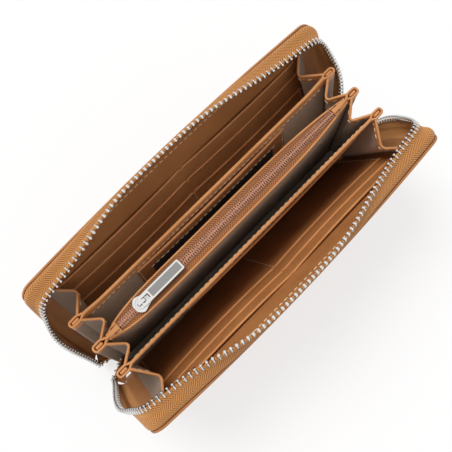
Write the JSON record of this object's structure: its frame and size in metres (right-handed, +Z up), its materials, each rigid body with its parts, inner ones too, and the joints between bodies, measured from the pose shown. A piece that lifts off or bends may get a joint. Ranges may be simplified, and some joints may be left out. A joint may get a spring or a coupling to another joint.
{
  "type": "zip around wallet",
  "caption": "Zip-around wallet standing open on its spine: hinged covers with card slots and zip teeth, folding end gussets, dividers and a zipped coin pocket.",
  "frame": {"origin": "middle of the spine's underside, on the surface that the wallet stands on", "axes": "+X along the wallet towards the far end, +Y towards the left cover, +Z up between the covers"},
  "size_m": [0.23, 0.1024, 0.1024],
  "materials": {
    "shell_leather": "smooth tan leather, satin",
    "lining_leather": "smooth tan leather, matt",
    "lining_fabric": "fine taupe weave",
    "board": "grey-brown stiffening board",
    "zip_tape": "herringbone zip tape",
    "zip_metal": "polished nickel",
    "nylon_coil": "tan nylon coil",
    "window_film": "dark window film"
  },
  "bodies": {
    "root": {"spine_leather": "shell_leather", "spine_lining": "lining_fabric", "coin_pocket_loops": "lining_leather", "coin_pocket_left_wall": "lining_leather", "coin_zip_left_tape": "zip_tape", "coin_zip_left_coil": "nylon_coil", "coin_pocket_right_wall": "lining_leather", "coin_zip_right_tape": "zip_tape", "coin_zip_right_coil": "nylon_coil", "coin_zip_near_tab": "lining_leather", "coin_zip_far_tab": "lining_leather", "main_slider": "zip_metal"},
    "left_cover": {"left_cover_leather": "shell_leather", "left_cover_board": "board", "left_cover_lining": "lining_leather", "left_zip_tape": "zip_tape", "left_zip_teeth": "zip_metal", "left_back_card_slots": "lining_leather", "left_middle_card_slots": "lining_leather", "left_front_card_slots": "lining_leather"},
    "left_divider": {"left_divider_panel": "lining_fabric", "left_divider_binding": "lining_leather", "left_divider_loops": "lining_leather", "left_divider_id_pocket": "lining_leather", "left_divider_id_window": "window_film"},
    "right_cover": {"right_cover_leather": "shell_leather", "right_cover_board": "board", "right_cover_lining": "lining_leather", "right_zip_tape": "zip_tape", "right_zip_teeth": "zip_metal", "right_back_card_slots": "lining_leather", "right_middle_card_slots": "lining_leather", "right_front_card_slots": "lining_leather"},
    "right_divider": {"right_divider_panel": "lining_fabric", "right_divider_binding": "lining_leather", "right_divider_loops": "lining_leather", "right_divider_slip_pocket": "lining_leather"},
    "near_left_inner_gusset_sewn_half": {"near_left_inner_gusset_sewn_half": "lining_leather"},
    "near_left_inner_gusset_free_half": {"near_left_inner_gusset_free_half": "lining_leather"},
    "far_left_inner_gusset_sewn_half": {"far_left_inner_gusset_sewn_half": "lining_leather"},
    "far_left_inner_gusset_free_half": {"far_left_inner_gusset_free_half": "lining_leather"},
    "near_left_outer_gusset_sewn_half": {"near_left_outer_gusset_sewn_half": "lining_leather"},
    "near_left_outer_gusset_free_half": {"near_left_outer_gusset_free_half": "lining_leather"},
    "far_left_outer_gusset_sewn_half": {"far_left_outer_gusset_sewn_half": "lining_leather"},
    "far_left_outer_gusset_free_half": {"far_left_outer_gusset_free_half": "lining_leather"},
    "near_right_inner_gusset_sewn_half": {"near_right_inner_gusset_sewn_half": "lining_leather"},
    "near_right_inner_gusset_free_half": {"near_right_inner_gusset_free_half": "lining_leather"},
    "far_right_inner_gusset_sewn_half": {"far_right_inner_gusset_sewn_half": "lining_leather"},
    "far_right_inner_gusset_free_half": {"far_right_inner_gusset_free_half": "lining_leather"},
    "near_right_outer_gusset_sewn_half": {"near_right_outer_gusset_sewn_half": "lining_leather"},
    "near_right_outer_gusset_free_half": {"near_right_outer_gusset_free_half": "lining_leather"},
    "far_right_outer_gusset_sewn_half": {"far_right_outer_gusset_sewn_half": "lining_leather"},
    "far_right_outer_gusset_free_half": {"far_right_outer_gusset_free_half": "lining_leather"},
    "coin_slider": {"coin_slider": "zip_metal"},
    "coin_pull": {"coin_pull": "zip_metal"},
    "main_pull": {"main_pull": "zip_metal"}
  },
  "joints": [
    {"name": "left_cover_hinge", "type": "hinge", "parent": "root", "child": "left_cover", "pos_m": [0, 0.01, 0.0006], "axis": [1, 0, 0], "range_deg": [-3, 18.5]},
    {"name": "right_cover_hinge", "type": "hinge", "parent": "root", "child": "right_cover", "pos_m": [0, -0.01, 0.0006], "axis": [-1, 0, 0], "range_deg": [-3.54, 21.55]},
    {"name": "left_divider_hinge", "type": "hinge", "parent": "root", "child": "left_divider", "pos_m": [0, 0.0043, 0.0025], "axis": [1, 0, 0], "range_deg": [-1.1, 6.55]},
    {"name": "near_left_inner_gusset_seam", "type": "hinge", "parent": "root", "child": "near_left_inner_gusset_sewn_half", "pos_m": [-0.093, 0.00305, 0.015], "axis": [0, -0.0184, -0.9998], "range_deg": [-3.5, 21.33]},
    {"name": "near_left_inner_gusset_fold", "type": "hinge", "parent": "near_left_inner_gusset_sewn_half", "child": "near_left_inner_gusset_free_half", "pos_m": [-0.09147, 0.0037, 0.015], "axis": [-0.1474, -0.081, -0.9858], "range_deg": [-43.58, 7.11]},
    {"name": "far_left_inner_gusset_seam", "type": "hinge", "parent": "root", "child": "far_left_inner_gusset_sewn_half", "pos_m": [0.093, 0.00305, 0.015], "axis": [0, 0.0184, 0.9998], "range_deg": [-3.5, 21.33]},
    {"name": "far_left_inner_gusset_fold", "type": "hinge", "parent": "far_left_inner_gusset_sewn_half", "child": "far_left_inner_gusset_free_half", "pos_m": [0.09147, 0.0037, 0.015], "axis": [-0.1474, 0.081, 0.9858], "range_deg": [-43.58, 7.11]},
    {"name": "near_left_outer_gusset_seam", "type": "hinge", "parent": "left_divider", "child": "near_left_outer_gusset_sewn_half", "pos_m": [-0.093, 0.00827, 0.015], "axis": [0, -0.1719, -0.9851], "range_deg": [-6.18, 37.86]},
    {"name": "near_left_outer_gusset_fold", "type": "hinge", "parent": "near_left_outer_gusset_sewn_half", "child": "near_left_outer_gusset_free_half", "pos_m": [-0.09024, 0.01082, 0.015], "axis": [-0.1235, -0.2802, -0.952], "range_deg": [-79.13, 12.87]},
    {"name": "far_left_outer_gusset_seam", "type": "hinge", "parent": "left_divider", "child": "far_left_outer_gusset_sewn_half", "pos_m": [0.093, 0.00827, 0.015], "axis": [0, 0.1719, 0.9851], "range_deg": [-6.18, 37.86]},
    {"name": "far_left_outer_gusset_fold", "type": "hinge", "parent": "far_left_outer_gusset_sewn_half", "child": "far_left_outer_gusset_free_half", "pos_m": [0.09024, 0.01082, 0.015], "axis": [-0.1235, 0.2802, 0.952], "range_deg": [-79.13, 12.87]},
    {"name": "right_divider_hinge", "type": "hinge", "parent": "root", "child": "right_divider", "pos_m": [0, -0.0043, 0.0025], "axis": [-1, 0, 0], "range_deg": [-1.1, 6.55]},
    {"name": "near_right_inner_gusset_seam", "type": "hinge", "parent": "root", "child": "near_right_inner_gusset_sewn_half", "pos_m": [-0.093, -0.00305, 0.015], "axis": [0, -0.0184, 0.9998], "range_deg": [-3.5, 21.33]},
    {"name": "near_right_inner_gusset_fold", "type": "hinge", "parent": "near_right_inner_gusset_sewn_half", "child": "near_right_inner_gusset_free_half", "pos_m": [-0.09147, -0.0037, 0.015], "axis": [0.1474, -0.081, 0.9858], "range_deg": [-43.58, 7.11]},
    {"name": "far_right_inner_gusset_seam", "type": "hinge", "parent": "root", "child": "far_right_inner_gusset_sewn_half", "pos_m": [0.093, -0.00305, 0.015], "axis": [0, 0.0184, -0.9998], "range_deg": [-3.5, 21.33]},
    {"name": "far_right_inner_gusset_fold", "type": "hinge", "parent": "far_right_inner_gusset_sewn_half", "child": "far_right_inner_gusset_free_half", "pos_m": [0.09147, -0.0037, 0.015], "axis": [0.1474, 0.081, -0.9858], "range_deg": [-43.58, 7.11]},
    {"name": "near_right_outer_gusset_seam", "type": "hinge", "parent": "right_divider", "child": "near_right_outer_gusset_sewn_half", "pos_m": [-0.093, -0.00827, 0.015], "axis": [0, -0.1719, 0.9851], "range_deg": [-7.17, 43.95]},
    {"name": "near_right_outer_gusset_fold", "type": "hinge", "parent": "near_right_outer_gusset_sewn_half", "child": "near_right_outer_gusset_free_half", "pos_m": [-0.0904, -0.01124, 0.015], "axis": [0.1248, -0.3073, 0.9434], "range_deg": [-90.83, 14.77]},
    {"name": "far_right_outer_gusset_seam", "type": "hinge", "parent": "right_divider", "child": "far_right_outer_gusset_sewn_half", "pos_m": [0.093, -0.00827, 0.015], "axis": [0, 0.1719, -0.9851], "range_deg": [-7.17, 43.95]},
    {"name": "far_right_outer_gusset_fold", "type": "hinge", "parent": "far_right_outer_gusset_sewn_half", "child": "far_right_outer_gusset_free_half", "pos_m": [0.0904, -0.01124, 0.015], "axis": [0.1248, 0.3073, -0.9434], "range_deg": [-90.83, 14.77]},
    {"name": "coin_zip_slide", "type": "slide", "parent": "root", "child": "coin_slider", "axis": [1, 0, 0], "range_m": [0, 0.128]},
    {"name": "coin_pull_hinge", "type": "hinge", "parent": "coin_slider", "child": "coin_pull", "pos_m": [-0.064, 0, 0.0849], "axis": [0, -1, 0], "range_deg": [0, 165]},
    {"name": "main_pull_hinge", "type": "hinge", "parent": "root", "child": "main_pull", "pos_m": [0.1019, 0, 0.005], "axis": [0, -1, 0], "range_deg": [0, 60]}
  ],
  "couplings": [
    {"joint": "right_cover_hinge", "follows": "left_cover_hinge", "ratio": 1.1622},
    {"joint": "left_divider_hinge", "follows": "left_cover_hinge", "ratio": 0.35135},
    {"joint": "near_left_inner_gusset_seam", "follows": "left_cover_hinge", "ratio": 1.1501},
    {"joint": "near_left_inner_gusset_fold", "follows": "left_cover_hinge", "ratio": -2.3527},
    {"joint": "far_left_inner_gusset_seam", "follows": "left_cover_hinge", "ratio": 1.1501},
    {"joint": "far_left_inner_gusset_fold", "follows": "left_cover_hinge", "ratio": -2.3527},
    {"joint": "near_left_outer_gusset_seam", "follows": "left_cover_hinge", "ratio": 2.044},
    {"joint": "near_left_outer_gusset_fold", "follows": "left_cover_hinge", "ratio": -4.2748},
    {"joint": "far_left_outer_gusset_seam", "follows": "left_cover_hinge", "ratio": 2.044},
    {"joint": "far_left_outer_gusset_fold", "follows": "left_cover_hinge", "ratio": -4.2748},
    {"joint": "right_divider_hinge", "follows": "left_cover_hinge", "ratio": 0.35135},
    {"joint": "near_right_inner_gusset_seam", "follows": "left_cover_hinge", "ratio": 1.1501},
    {"joint": "near_right_inner_gusset_fold", "follows": "left_cover_hinge", "ratio": -2.3527},
    {"joint": "far_right_inner_gusset_seam", "follows": "left_cover_hinge", "ratio": 1.1501},
    {"joint": "far_right_inner_gusset_fold", "follows": "left_cover_hinge", "ratio": -2.3527},
    {"joint": "near_right_outer_gusset_seam", "follows": "left_cover_hinge", "ratio": 2.3729},
    {"joint": "near_right_outer_gusset_fold", "follows": "left_cover_hinge", "ratio": -4.9068},
    {"joint": "far_right_outer_gusset_seam", "follows": "left_cover_hinge", "ratio": 2.3729},
    {"joint": "far_right_outer_gusset_fold", "follows": "left_cover_hinge", "ratio": -4.9068}
  ]
}
